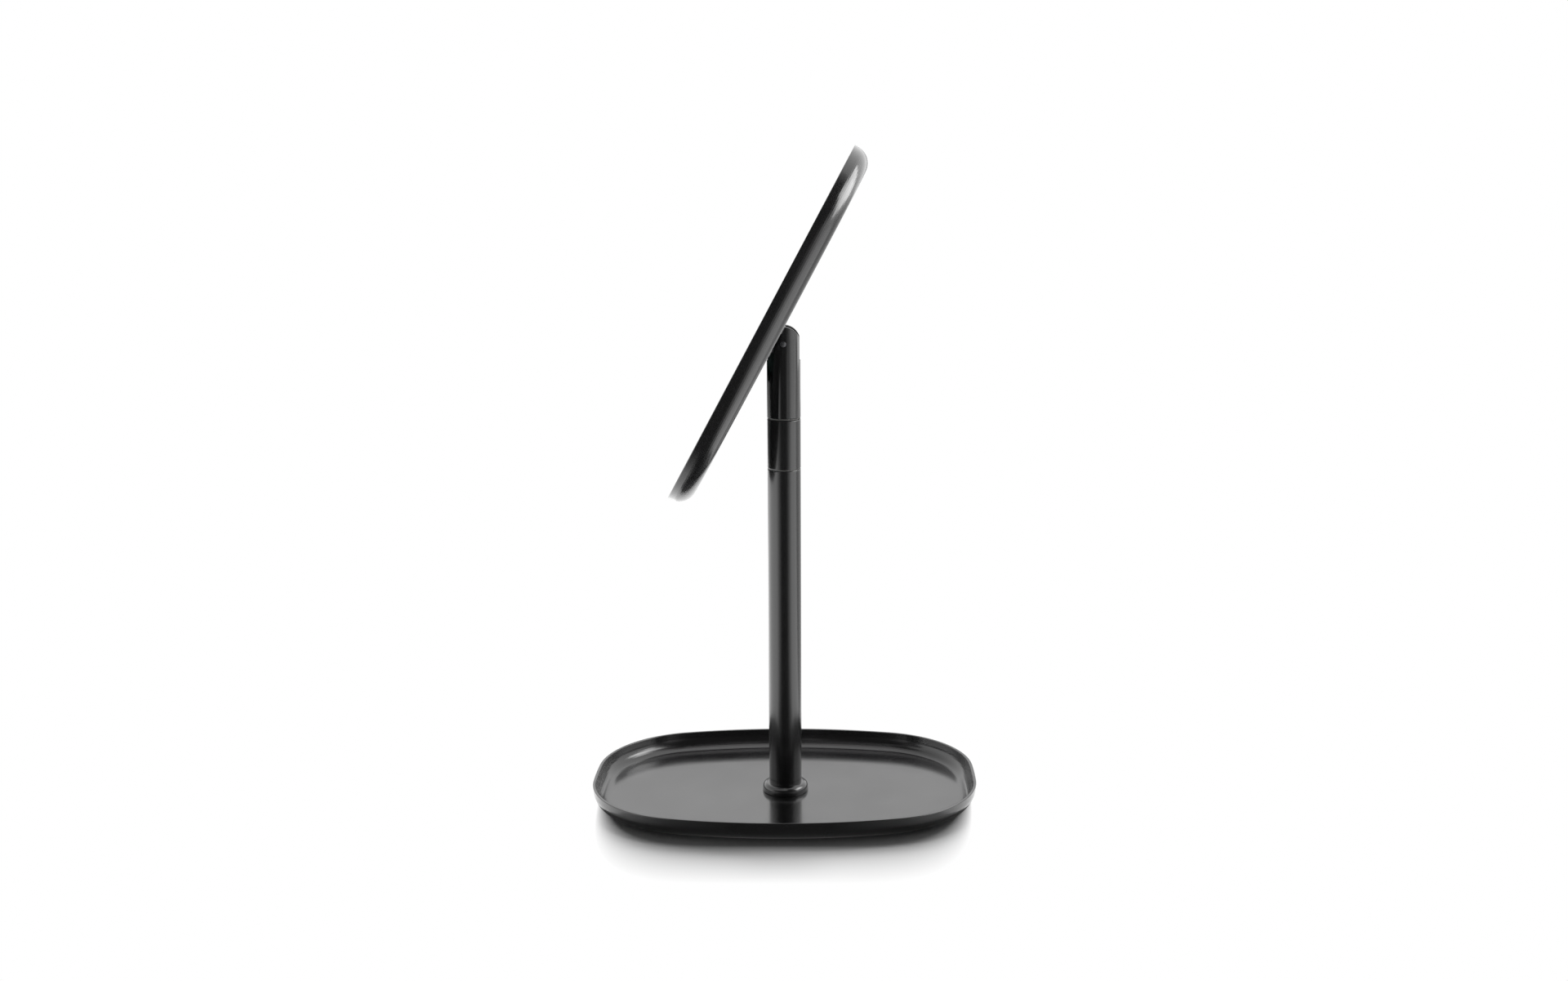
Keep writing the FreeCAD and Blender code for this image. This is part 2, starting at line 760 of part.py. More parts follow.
def bracket_rivets():
    """Four rivets that hold the bracket, with low heads on the back of the pan."""
    body = new_body("bracket_rivets")
    head_foot = "back_gap - rivet_head_height"
    heads = new_sketch(body, "heads", level=head_foot)
    shanks = new_sketch(body, "shanks", level=head_foot)
    tails = new_sketch(body, "tails", level="bracket_flange_top")
    for along, across in rivet_places():
        draw_circle(heads, "rivet_head_radius", along, across)
        draw_circle(shanks, "rivet_radius", along, across)
        draw_circle(tails, "rivet_tail_radius", along, across)
    pad(body, heads, "rivet_head_height", name="heads")
    round_edges(body, "rivet_bevel", [at_height(head_foot)], kind="Chamfer")
    pad(body, shanks, "bracket_flange_top - (%s)" % head_foot, name="shanks")
    pad(body, tails, "rivet_tail_height", name="tails")
    lean(body)
    return body


def mirror_backing():
    """Foam sheet that carries the glass, cut out round the bracket."""
    body = new_body("mirror_backing")
    outline = new_sketch(body, "outline", level="back_inside", along="centre_above_pivot")
    draw_soft_rectangle(outline, "backing_inset")
    side = "bracket_edge + backing_window_gap"
    foot = "-opening_below - backing_window_gap - centre_above_pivot"
    top = "max(bridge_length/2; opening_above) + backing_window_gap - centre_above_pivot"
    draw_box(outline, foot, top, "-(%s)" % side, side)
    pad(body, outline, "glass_back - back_inside")
    lean(body)
    return body


def mirror_glass():
    body = new_body("mirror_glass")
    outline = new_sketch(body, "outline", level="glass_back", along="centre_above_pivot")
    deep = "(glass_recess + glass_thickness)*tan(pan_draft)"
    draw_soft_rectangle(outline, "sheet + glass_gap + %s" % deep)
    pad(body, outline, "glass_thickness")
    front = "glass_back + glass_thickness"
    round_edges(body, "edge_break", [at_height(front)], kind="Chamfer")
    lean(body)
    return body


def build():
    """Every piece of the mirror, in the order that it goes together."""
    return [
        tray(),
        foot_pad(),
        base_screw(),
        ring("screw_washer", "screw_radius + washer_gap", "screw_head_radius",
             "dimple_under - washer_thickness", "dimple_under"),
        foot_collar(),
        lower_tube(),
        neck_bush(),
        ring("stop_ring", "mast_clear", "tube_bore", "stop_foot", "neck_foot"),
        collet(),
        ring("tube_seam_ring", "thread_radius", "stem_radius - seam_ring_step",
             "tube_top", "collar_foot"),
        lock_collar(),
        guide_bush(),
        end_plug(),
        ring("mast_tube", "mast_bore", "mast_radius", "mast_foot", "head_foot + head_socket"),
        ring("head_seam_ring", "mast_radius", "stem_radius - seam_ring_step",
             "head_ring_foot", "head_foot"),
        head(),
        friction_discs(),
        pivot_pin(),
        mirror_pan(),
        hinge_bracket(),
        bracket_rivets(),
        mirror_backing(),
        mirror_glass(),
    ]


def check(bodies):
    """Stop before writing anything if a feature or a piece has failed."""
    for item in doc.Objects:
        if "Invalid" in item.State or "Error" in item.State:
            raise ValueError("%s is %s" % (item.Label, item.State))
    for body in bodies:
        if body.Shape.isNull() or not body.Shape.isValid():
            raise ValueError("%s has no valid shape" % body.Label)


pieces = build()
doc.recompute()
check(pieces)
os.makedirs("parts", exist_ok=True)
for piece in pieces:
    piece.Shape.exportStep(os.path.join("parts", piece.Label + ".step"))
    box = piece.Shape.BoundBox
    print("%-16s %2d solid(s) %9.0f mm3  z %6.1f to %6.1f" % (
        piece.Label, len(piece.Shape.Solids), piece.Shape.Volume, box.ZMin, box.ZMax))
print("The mast travels %.1f mm" % number("mast_travel"))
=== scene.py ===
# %% [markdown]
# # A table mirror in gloss black, step by step
# This lesson dresses a finished CAD model. The CAD gives every part its size and
# place, so the first step loads it as a fixed frame. Nothing that it holds is moved.
# Blender then adds what CAD leaves out: smooth reflective skins, finishes and light.

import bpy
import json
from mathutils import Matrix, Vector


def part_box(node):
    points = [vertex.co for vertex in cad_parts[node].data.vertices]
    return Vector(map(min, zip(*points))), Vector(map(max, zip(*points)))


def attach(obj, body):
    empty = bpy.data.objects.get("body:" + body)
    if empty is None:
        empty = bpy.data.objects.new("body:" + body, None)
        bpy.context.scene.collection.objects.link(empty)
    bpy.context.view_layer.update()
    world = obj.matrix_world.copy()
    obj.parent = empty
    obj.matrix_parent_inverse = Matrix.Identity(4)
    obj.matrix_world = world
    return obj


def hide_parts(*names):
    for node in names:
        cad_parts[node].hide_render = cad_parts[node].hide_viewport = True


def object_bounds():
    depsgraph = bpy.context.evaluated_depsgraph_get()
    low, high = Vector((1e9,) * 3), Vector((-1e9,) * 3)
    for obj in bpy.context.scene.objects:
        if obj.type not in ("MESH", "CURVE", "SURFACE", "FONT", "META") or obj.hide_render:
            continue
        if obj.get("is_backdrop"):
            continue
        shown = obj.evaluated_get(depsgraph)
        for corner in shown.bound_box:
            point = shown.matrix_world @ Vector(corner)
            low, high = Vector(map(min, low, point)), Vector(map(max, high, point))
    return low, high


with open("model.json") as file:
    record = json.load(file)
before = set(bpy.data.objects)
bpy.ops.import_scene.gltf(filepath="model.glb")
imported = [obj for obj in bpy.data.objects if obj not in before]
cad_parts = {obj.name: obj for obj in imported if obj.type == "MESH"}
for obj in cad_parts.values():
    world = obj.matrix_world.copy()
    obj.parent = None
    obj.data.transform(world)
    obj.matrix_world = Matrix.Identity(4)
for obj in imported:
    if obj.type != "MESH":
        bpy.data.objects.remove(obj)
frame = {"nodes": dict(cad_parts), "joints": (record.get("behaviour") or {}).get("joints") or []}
cad_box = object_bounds()


def in_mm(box):
    """The two corners of a box as readable numbers."""
    return [tuple(round(1000 * c, 2) for c in corner) for corner in box]


print("CAD box in mm:", in_mm(cad_box))

# %% [markdown]
# ## Measures
# A piece that fits another takes its place from the frame. The mirror's lean at rest
# and a few sizes of the pressed sheet can't be read from a box, so they are named here.

# %% Read the places of the main parts
import json
import math

import bmesh
import bpy
from mathutils import Matrix, Vector

MM = 0.001
tray_low, tray_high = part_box("tray")
tube_low, tube_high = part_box("lower_tube")
half_length = (tray_high.x - tray_low.x) / 2
half_width = (tray_high.y - tray_low.y) / 2
stem_radius = (tube_high.x - tube_low.x) / 2
tilt_joint = next(j for j in frame["joints"] if j["name"] == "mirror_tilt")
pivot = Vector(tilt_joint["pos_m"])
rest_tilt = math.radians(28.2)
print("half length, half width, stem radius in mm:",
      [round(s / MM, 2) for s in (half_length, half_width, stem_radius)])
print("hinge pin at", round(pivot.z / MM, 1), "mm")

# %% Name the sizes of the pressed sheet
sheet = 1.5 * MM
draft = math.radians(7)
bend = 8 * MM
rim_round = 0.35 * MM
long_side_radius = 257 * MM
short_side_radius = 320 * MM
corner_radius = 51 * MM
pan_depth = tray_high.z - tray_low.z
print("the pan is", round(pan_depth / MM, 2), "mm deep")

# %% [markdown]
# ## Helpers that hand a piece over
# Every piece ends the same way. Its bmesh becomes a mesh in the scene, its faces are
# smoothed with sharp edges kept, it is told which body it rides on and gets its finish,
# and the CAD parts that it stands for are hidden. Writing this once keeps the later cells short.

# %% Helpers: turn a bmesh into an object, and into a finished piece
def object_of(name, bm, material):
    """Make a mesh object of a bmesh, and put it in the scene with its finish."""
    mesh = bpy.data.meshes.new(name)
    bm.to_mesh(mesh)
    bm.free()
    mesh.materials.append(material)
    made = bpy.data.objects.new(name, mesh)
    bpy.context.scene.collection.objects.link(made)
    return made


def hand_over(name, bm, body, material, stands_for, sharp=35):
    """Make an object of a bmesh and let it ride on a body of the frame.

    Edges that turn by more than `sharp` degrees stay sharp.
    """
    piece = object_of(name, bm, material)
    piece.data.shade_smooth()
    piece.data.set_sharp_from_angle(angle=math.radians(sharp))
    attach(piece, body)
    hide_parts(*stands_for)
    print(name, "has", len(piece.data.polygons), "faces")
    return piece


# %% [markdown]
# ## Materials
# A finish is a small tree of nodes. Short helpers keep the trees readable. One starts a
# material and returns its main shader, and one makes a noise pattern at a given grain
# size. Three more let such a pattern vary a value, blend two colours or raise bumps.
# Painted images could do the same, but they need files and unwrapped pieces. Noise
# needs neither. It reads Object coordinates, so it stays put when a part moves.

# %% Helpers: start a material and make a pattern
def new_material(name, colour, roughness, metallic=0.0):
    """A material and its main shader, with the middle values of the finish."""
    material = bpy.data.materials.new(name)
    material.use_nodes = True
    shader = material.node_tree.nodes["Principled BSDF"]
    shader.inputs["Base Color"].default_value = (*colour, 1)
    shader.inputs["Roughness"].default_value = roughness
    shader.inputs["Metallic"].default_value = metallic
    return material, shader


def grain(material, size, stretch=(1, 1, 1), detail=2.0):
    """A noise pattern whose spots are about `size` metres, and its output socket."""
    nodes, links = material.node_tree.nodes, material.node_tree.links
    place = nodes.new("ShaderNodeTexCoord")
    mapping = nodes.new("ShaderNodeMapping")
    mapping.inputs["Scale"].default_value = stretch
    noise = nodes.new("ShaderNodeTexNoise")
    noise.inputs["Scale"].default_value = 1 / size
    noise.inputs["Detail"].default_value = detail
    links.new(place.outputs["Object"], mapping.inputs["Vector"])
    links.new(mapping.outputs["Vector"], noise.inputs["Vector"])
    return noise.outputs["Fac"]


# %% Helpers: let a pattern change a value, a colour or the surface
value_range = (0.3, 0.7)
colour_range = (0.35, 0.65)
print("noise is used from", value_range[0], "to", value_range[1])


def mapped(tree, value, start, end, low=0.0, high=1.0):
    """Turn start..end of a value evenly into low..high, and hold it at both ends."""
    ramp = tree.nodes.new("ShaderNodeMapRange")
    ramp.inputs["From Min"].default_value = start
    ramp.inputs["From Max"].default_value = end
    ramp.inputs["To Min"].default_value = low
    ramp.inputs["To Max"].default_value = high
    tree.links.new(value, ramp.inputs["Value"])
    return ramp.outputs["Result"]


def spread(material, value, low, high, socket):
    """Let the useful middle range of a pattern vary a socket from low to high."""
    tree = material.node_tree
    tree.links.new(mapped(tree, value, *value_range, low, high), socket)


def tint(material, value, dark, light, socket):
    """Blend two colours by a pattern."""
    nodes, links = material.node_tree.nodes, material.node_tree.links
    ramp = nodes.new("ShaderNodeValToRGB")
    for stop, position, colour in zip(ramp.color_ramp.elements, colour_range, (dark, light)):
        stop.position = position
        stop.color = (*colour, 1)
    links.new(value, ramp.inputs["Fac"])
    links.new(ramp.outputs["Color"], socket)


def bumps(material, shader, value, height, strength=1.0):
    """Raise the surface by a pattern, up to `height` metres."""
    nodes, links = material.node_tree.nodes, material.node_tree.links
    bump = nodes.new("ShaderNodeBump")
    bump.inputs["Distance"].default_value = height
    bump.inputs["Strength"].default_value = strength
    links.new(value, bump.inputs["Height"])
    links.new(bump.outputs["Normal"], shader.inputs["Normal"])


def announce(*materials):
    """Print the names of new finishes."""
    print("finishes made:", ", ".join(material.name for material in materials))


# %% [markdown]
# ### Gloss black powder coat
# Baked powder is nearly black, very smooth, and never quite flat: it has a faint
# orange peel about 2 mm across. Handling leaves large, soft patches that are a little
# duller. A clear coat on the shader doubles the reflection, as a gloss topcoat does.

# %% Gloss black powder coat
black_paint, shader = new_material("black_gloss_paint", (0.010, 0.010, 0.011), 0.3)
shader.inputs["IOR"].default_value = 1.6
shader.inputs["Coat Weight"].default_value = 1.0
shader.inputs["Coat Roughness"].default_value = 0.15
peel = grain(black_paint, 2.2 * MM)
patches = grain(black_paint, 30 * MM, detail=4)
tint(black_paint, patches, (0.008, 0.008, 0.009), (0.013, 0.013, 0.014),
     shader.inputs["Base Color"])
spread(black_paint, patches, 0.18, 0.27, shader.inputs["Roughness"])
bumps(black_paint, shader, peel, 0.008 * MM, 0.12)
announce(black_paint)

# %% [markdown]
# ### Metals
# The mast is bright drawn tube: the die leaves fine lines along its length, so its
# noise is stretched along Z. Zinc plate is cloudy and slightly blue, and blackened
# steel is cloudy too, but much darker. Turned brass has fine rings round its axis, so
# that noise is stretched along X and Y instead.

# %% Bright steel, zinc plate, blackened steel and brass
mast_steel, shader = new_material("mast_steel", (0.66, 0.66, 0.68), 0.12, metallic=1)
drawn = grain(mast_steel, 0.35 * MM, stretch=(1, 1, 0.02), detail=3)
spread(mast_steel, drawn, 0.07, 0.2, shader.inputs["Roughness"])
bumps(mast_steel, shader, drawn, 0.002 * MM, 0.3)

zinc, shader = new_material("fastener_steel", (0.5, 0.51, 0.54), 0.35, metallic=1)
cloud = grain(zinc, 1.2 * MM, detail=6)
tint(zinc, cloud, (0.40, 0.41, 0.44), (0.58, 0.59, 0.62), shader.inputs["Base Color"])
spread(zinc, cloud, 0.25, 0.45, shader.inputs["Roughness"])

dark_steel, shader = new_material("steel_blackened", (0.22, 0.22, 0.23), 0.5, metallic=1)
tint(dark_steel, grain(dark_steel, 0.6 * MM, detail=4), (0.14, 0.14, 0.15),
     (0.30, 0.30, 0.31), shader.inputs["Base Color"])

brass, shader = new_material("brass_turned", (0.72, 0.55, 0.27), 0.25, metallic=1)
rings = grain(brass, 0.3 * MM, stretch=(0.05, 0.05, 1), detail=2)
tint(brass, rings, (0.60, 0.44, 0.20), (0.80, 0.62, 0.32), shader.inputs["Base Color"])
bumps(brass, shader, rings, 0.004 * MM, 0.4)
announce(mast_steel, zinc, dark_steel, brass)

# %% [markdown]
# ### Plastics, rubber and foam
# These are dull and slightly grainy. Nylon has a soft sheen, rubber is pebbled so
# that it grips, and foam shows its closed cells as a Voronoi pattern would, which a
# fine noise with much contrast imitates well enough at this size.

# %% Nylon, rubber and foam
# The seam rings' nylon is a lighter grey than the paint around it. This is partly the nylon's
# own tone and partly painted highlight for the light lines along the seams.
seam_nylon_painted_highlight, shader = new_material("nylon_grey", (0.3, 0.3, 0.29), 0.42)
flow = grain(seam_nylon_painted_highlight, 1.5 * MM)
tint(seam_nylon_painted_highlight, flow, (0.26, 0.26, 0.25), (0.34, 0.34, 0.33), shader.inputs["Base Color"])

white_nylon, shader = new_material("nylon_natural", (0.78, 0.77, 0.72), 0.4)
milk = grain(white_nylon, 3 * MM)
tint(white_nylon, milk, (0.72, 0.71, 0.65), (0.82, 0.81, 0.77), shader.inputs["Base Color"])

rubber, shader = new_material("rubber_black", (0.02, 0.02, 0.02), 0.75)
pebble = grain(rubber, 0.5 * MM, detail=3)
tint(rubber, pebble, (0.014, 0.014, 0.014), (0.032, 0.032, 0.031), shader.inputs["Base Color"])
bumps(rubber, shader, pebble, 0.06 * MM, 0.7)

foam, shader = new_material("foam_grey", (0.12, 0.12, 0.12), 0.9)
cells = grain(foam, 0.8 * MM, detail=4)
tint(foam, cells, (0.07, 0.07, 0.07), (0.18, 0.18, 0.18), shader.inputs["Base Color"])
bumps(foam, shader, cells, 0.15 * MM, 0.8)
announce(seam_nylon_painted_highlight, white_nylon, rubber, foam)

# %% [markdown]
# ### Silvered glass
# A mirror is glass with silver behind it. Seen from the front, only the silver counts,
# so the face is a metal shader with almost no roughness and a faint green cast. Clear
# glass over a silver sheet would look the same and take far longer to render. The
# ground edge shows the glass itself: darker, greener and slightly frosted.

# %% Silvered face and ground edge
silver, shader = new_material("silvered_glass", (0.90, 0.925, 0.915), 0.012, metallic=1)
haze = grain(silver, 25 * MM, detail=5)
spread(silver, haze, 0.006, 0.03, shader.inputs["Roughness"])

glass_edge, shader = new_material("glass_edge", (0.10, 0.20, 0.17), 0.22)
ground = grain(glass_edge, 0.4 * MM, detail=3)
tint(glass_edge, ground, (0.07, 0.16, 0.13), (0.14, 0.27, 0.23), shader.inputs["Base Color"])
bumps(glass_edge, shader, ground, 0.01 * MM, 0.4)
announce(silver, glass_edge)

# %% [markdown]
# ## The outline that tray and mirror share
# Both pans have one outline: four shallow side arcs and four corner arcs, each running
# smoothly into the next. A pan could be cut from a scaled box, but its bends would
# then be uneven. Spinning one section round each arc's centre in turn gives an even
# wall everywhere, just as the press does.

# %% Find the eight arcs and where they start
short_steps, corner_steps, long_steps = 12, 24, 20


def outline_arcs():
    """Each arc's centre, sweep and number of steps, then the start and its outward way."""
    long_centre = Vector((0, half_width - long_side_radius))
    short_centre = Vector((half_length - short_side_radius, 0))
    apart = short_centre - long_centre
    from_long = long_side_radius - corner_radius
    from_short = short_side_radius - corner_radius
    along = (apart.length ** 2 + from_long ** 2 - from_short ** 2) / (2 * apart.length)
    aside = math.sqrt(from_long ** 2 - along ** 2)
    ahead = apart.normalized()
    corner = long_centre + ahead * along + Vector((ahead.y, -ahead.x)) * aside
    to_short = (corner - short_centre).angle_signed(Vector((1, 0)))
    to_long = (corner - long_centre).angle_signed(Vector((1, 0)))
    corner_sweep = to_long - to_short
    half_of_arcs = [(short_centre, 2 * to_short, short_steps),
                    (corner, corner_sweep, corner_steps),
                    (long_centre, math.pi - 2 * to_long, long_steps),
                    (Vector((-corner.x, corner.y)), corner_sweep, corner_steps)]
    other_half = [(-centre, sweep, steps) for centre, sweep, steps in half_of_arcs]
    outward = Vector((math.cos(to_short), -math.sin(to_short)))
    start = Vector((corner.x, -corner.y)) + corner_radius * outward
    return half_of_arcs + other_half, start, outward


arcs, outline_start, outline_outward = outline_arcs()
print("sweeps in degrees:", [round(math.degrees(sweep), 2) for _, sweep, _ in arcs])


# %% Helpers: draw a section, round its corners and spin it round the outline
guard = 0.12 * MM
outline_weld = 0.005 * MM


def section_wire(bm, corners, rounds):
    """Join corner points by edges, then round some, each given as (number, radius, segments).

    Each long run gets a guard point near its ends. Smooth shading then bends the light
    only in the rounds, and the runs stay flat.
    """
    points = [bm.verts.new(corner) for corner in corners]
    for first, second in zip(points, points[1:]):
        bm.edges.new((first, second))
    for index, radius, segments in rounds:
        point = points[index]
        arms = [edge.other_vert(point).co - point.co for edge in point.link_edges]
        turn = math.pi - arms[0].angle(arms[1])
        bmesh.ops.bevel(bm, geom=[point], offset=radius * math.tan(turn / 2),
                        offset_type="OFFSET", segments=segments, profile=0.5,
                        affect="VERTICES", clamp_overlap=False, material=-1)
    for run in [edge for edge in bm.edges if edge.calc_length() > 4 * guard]:
        for end in run.verts[:]:
            bmesh.utils.edge_split(run, end, guard / run.calc_length())


def spin_round_outline(bm):
    """Sweep the wire in a bmesh along the whole outline."""
    last = bm.verts[:] + bm.edges[:]
    for centre, sweep, steps in arcs:
        spun = bmesh.ops.spin(bm, geom=last, cent=(centre.x, centre.y, 0), axis=(0, 0, 1),
                              angle=sweep, steps=steps)
        last = spun["geom_last"]
    bmesh.ops.remove_doubles(bm, verts=bm.verts, dist=outline_weld)


def at_outline(inset, level):
    """The point of the section plane that lies `inset` inside the outline."""
    flat = outline_start - outline_outward * inset
    return Vector((flat.x, flat.y, level))


# %% [markdown]
# ## The pressed pan
# The section runs from the flat underside, round the outer bend, up the leaning wall,
# over the rim and back down inside. Its corners are few, and the bevel operator
# rounds them. A Solidify modifier could thicken a single skin instead, but a drawn
# section gives each bend its own radius. The two open loops get their flats afterwards.

# %% Helpers: the section of a pan, spun, and its open loops
flat_start = 14 * MM
level_slack = 0.01 * MM
print("inner bend of the pan:", round((bend - sheet) / MM, 2), "mm")


def pan_skin(rim):
    """The pan's spun skin below a rim's level, open inside `flat_start` on both sides."""
    bottom = rim - pan_depth
    lean = math.tan(draft)
    corners = [
        at_outline(flat_start, bottom),
        at_outline(pan_depth * lean, bottom),
        at_outline(0, rim),
        at_outline(sheet, rim),
        at_outline(sheet + (pan_depth - sheet) * lean, bottom + sheet),
        at_outline(flat_start, bottom + sheet)]
    bm = bmesh.new()
    section_wire(bm, corners, [(4, bend - sheet, 10), (3, rim_round, 4),
                               (2, rim_round, 4), (1, bend, 12)])
    spin_round_outline(bm)
    return bm


def open_loop(bm, level):
    """The edges of the open loop at a level."""
    return [edge for edge in bm.edges if edge.is_boundary
            and all(abs(v.co.z - level) < level_slack for v in edge.verts)]


# %% [markdown]
# ## The tray
# Under the stem's foot the floor is pressed up into a dimple, which keeps the screw's
# head off the table. A Boolean could cut it in, but leaves ragged edges where shapes
# touch. The dimple is a turned shape, so its section is spun a full turn about the
# stem, and filling the plane between two open loops makes each flat.

# %% Helper: a full turn about the stem
def full_turn(bm, steps):
    """Spin all that a bmesh holds once round the stem's axis."""
    bmesh.ops.spin(bm, geom=bm.verts[:] + bm.edges[:], cent=(0, 0, 0), axis=(0, 0, 1),
                   angle=math.tau, steps=steps, use_merge=True)


# %% Model the tray
dimple_hollow = 5.6 * MM
screw_hole = 3.2 * MM
dimple_steps = 64


def tray_mesh():
    """The pan with its dimple, and the two flats filled in between them."""
    bottom = tray_low.z
    screw_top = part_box("screw_washer")[1].z
    bm = pan_skin(tray_high.z)
    dimple = bmesh.new()
    section_wire(dimple, [(dimple_hollow, 0, bottom), (dimple_hollow, 0, screw_top),
                          (screw_hole, 0, screw_top), (screw_hole, 0, screw_top + sheet),
                          (dimple_hollow + sheet, 0, screw_top + sheet),
                          (dimple_hollow + sheet, 0, bottom + sheet)], [])
    full_turn(dimple, dimple_steps)
    spare = bpy.data.meshes.new("dimple")
    dimple.to_mesh(spare)
    dimple.free()
    bm.from_mesh(spare)
    bpy.data.meshes.remove(spare)
    for level in (bottom, bottom + sheet):
        bmesh.ops.triangle_fill(bm, edges=open_loop(bm, level), use_beauty=True)
    bmesh.ops.recalc_face_normals(bm, faces=bm.faces)
    return bm


hand_over("tray_skin", tray_mesh(), "base", black_paint, ["tray"])

# %% [markdown]
# ## The mirror's pan
# The same pressing turned on its edge. It is modelled lying flat, with X up the mirror
# and the hinge pin at the origin, and then leaned into place by one matrix, because
# level flats are easy to fill and a leaning one isn't. A slot in its back lets the
# stem's round head in. Its corners are points in the flats, joined from front to back.

# %% Where the mirror leans
mirror_place = (Matrix.Translation(pivot)
                @ Matrix.Rotation(-(math.pi / 2 - rest_tilt), 4, "Y"))
centre_above_pivot = 4.0 * MM
rim_above_pin = 14.3 * MM
slot_low, slot_high = -26.0 * MM, 8.2 * MM
slot_play = 0.5 * MM
slot_half = stem_radius + slot_play
print("slot in mm:", round((slot_high - slot_low) / MM, 1), "by", round(2 * slot_half / MM, 1))


# %% Model the mirror's pan
def mirror_pan_mesh():
    """The pan with flats that stop at the slot, and the slot's walls between them."""
    bm = pan_skin(rim_above_pin)
    bmesh.ops.translate(bm, verts=bm.verts, vec=(centre_above_pivot, 0, 0))
    back = rim_above_pin - pan_depth
    for level in (back, back + sheet):
        corners = [bm.verts.new((x, y, level)) for x, y in (
            (slot_low, -slot_half), (slot_high, -slot_half),
            (slot_high, slot_half), (slot_low, slot_half))]
        slot_edges = [bm.edges.new((corners[i], corners[(i + 1) % 4])) for i in range(4)]
        bmesh.ops.triangle_fill(bm, edges=open_loop(bm, level) + slot_edges, use_beauty=True)
    bmesh.ops.bridge_loops(bm, edges=[edge for edge in bm.edges if edge.is_boundary])
    bmesh.ops.recalc_face_normals(bm, faces=bm.faces)
    bmesh.ops.transform(bm, matrix=mirror_place, verts=bm.verts)
    return bm


hand_over("mirror_pan_skin", mirror_pan_mesh(), "mirror", black_paint,
          ["mirror_pan"])

# %% [markdown]
# ## The glass
# The plate follows the same outline a little further in, with a narrow polished bevel
# round its face. Two materials share the mesh: silver on the face and the bevel, and
# the ground glass on the edge and the back. The bevel leans by only 10 degrees, so
# every turn of more than 3 degrees is kept sharp, or the bevel would melt into the face.

# %% Model the glass
face_below_rim = 1.0 * MM
back_below_rim = 4.0 * MM
glass_gap = 0.4 * MM
bevel_width = 1.6 * MM
bevel_drop = 0.25 * MM
edge_ease = 0.2 * MM
rim_band = 6 * MM


def glass_mesh():
    """A plate with a bevelled face, whose edge stays a gap inside the pan's wall."""
    back = rim_above_pin - back_below_rim
    front = rim_above_pin - face_below_rim
    edge = sheet + glass_gap + back_below_rim * math.tan(draft)
    bm = bmesh.new()
    section_wire(bm, [at_outline(edge + rim_band, back), at_outline(edge, back),
                      at_outline(edge, front - bevel_drop - edge_ease),
                      at_outline(edge + edge_ease, front - bevel_drop),
                      at_outline(edge + bevel_width, front),
                      at_outline(edge + rim_band, front)], [])
    spin_round_outline(bm)
    for level in (back, front):
        bmesh.ops.edgeloop_fill(bm, edges=open_loop(bm, level))
    bmesh.ops.recalc_face_normals(bm, faces=bm.faces)
    for face in bm.faces:
        face.material_index = 0 if face.normal.z > 0.5 else 1
    bmesh.ops.translate(bm, verts=bm.verts, vec=(centre_above_pivot, 0, 0))
    bmesh.ops.transform(bm, matrix=mirror_place, verts=bm.verts)
    return bm


glass = hand_over("glass_plate", glass_mesh(), "mirror", silver,
                  ["mirror_glass"], sharp=3)
glass.data.materials.append(glass_edge)

# %% [markdown]
# ## Turned parts of the stem
# The foot, the tubes, the collar and the seam rings are all round. A plain cylinder
# would do for a tube, but not for a bore or a broken edge. So each is a section spun a
# full turn about the stem's axis. Small edge breaks matter more than they seem: they
# are what draws the thin light lines at the seams. The seam rings' grey, lighter than
# the paint, is partly painted highlight that strengthens those light lines.

# %% Helpers: turn a closed section about the stem
turned_steps = 128
weld = 0.002 * MM


def turned(corners, rounds):
    """Spin a closed section given as (radius, level) corners."""
    bm = bmesh.new()
    section_wire(bm, [(radius, 0, level) for radius, level in corners + corners[:1]], rounds)
    full_turn(bm, turned_steps)
    bmesh.ops.remove_doubles(bm, verts=bm.verts, dist=weld)
    bmesh.ops.recalc_face_normals(bm, faces=bm.faces)
    return bm


def tube_between(node, inner, edge_round):
    """A plain tube in the place of a CAD part, with its outer edges broken."""
    low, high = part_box(node)
    outer = (high.x - low.x) / 2
    corners = [(inner, low.z), (outer, low.z), (outer, high.z), (inner, high.z)]
    rounds = [(2, edge_round, 3), (1, edge_round, 3)] if edge_round else []
    return turned(corners, rounds)


# %% Tubes, collar and seam rings
edge_break = 0.3 * MM
tube_wall = 1.5 * MM
tube_bore = stem_radius - tube_wall
collar_bore = 6.58 * MM
tube_seam_bore = 6.5 * MM
head_seam_bore = 5.0 * MM
mast_bore = 3.8 * MM
mast_edge_break = 0.2 * MM
hand_over("lower_tube_skin", tube_between("lower_tube", tube_bore, edge_break), "base",
          black_paint, ["lower_tube"])
hand_over("lock_collar_skin", tube_between("lock_collar", collar_bore, edge_break),
          "lock_collar", black_paint, ["lock_collar"])
# The seam rings take the lighter grey nylon, which is a painted highlight along each seam.
hand_over("tube_seam", tube_between("tube_seam_ring", tube_seam_bore, 0), "base",
          seam_nylon_painted_highlight, ["tube_seam_ring"])
hand_over("head_seam", tube_between("head_seam_ring", head_seam_bore, 0), "mast",
          seam_nylon_painted_highlight, ["head_seam_ring"])
hand_over("mast_skin", tube_between("mast_tube", mast_bore, mast_edge_break), "mast",
          mast_steel, ["mast_tube"])

# %% [markdown]
# ## The foot
# The foot sits over the tray's dimple, takes the screw from below and holds the tube on
# a spigot. What shows of it is a rounded ring, 4 mm high, that stands out round the
# stem. A ring that bulges mirrors the bright room above and the dark tray below, so
# it reads as a light line over a dark one. A torus round a tube would look alike, but
# one closed section leaves no piece hidden inside another.

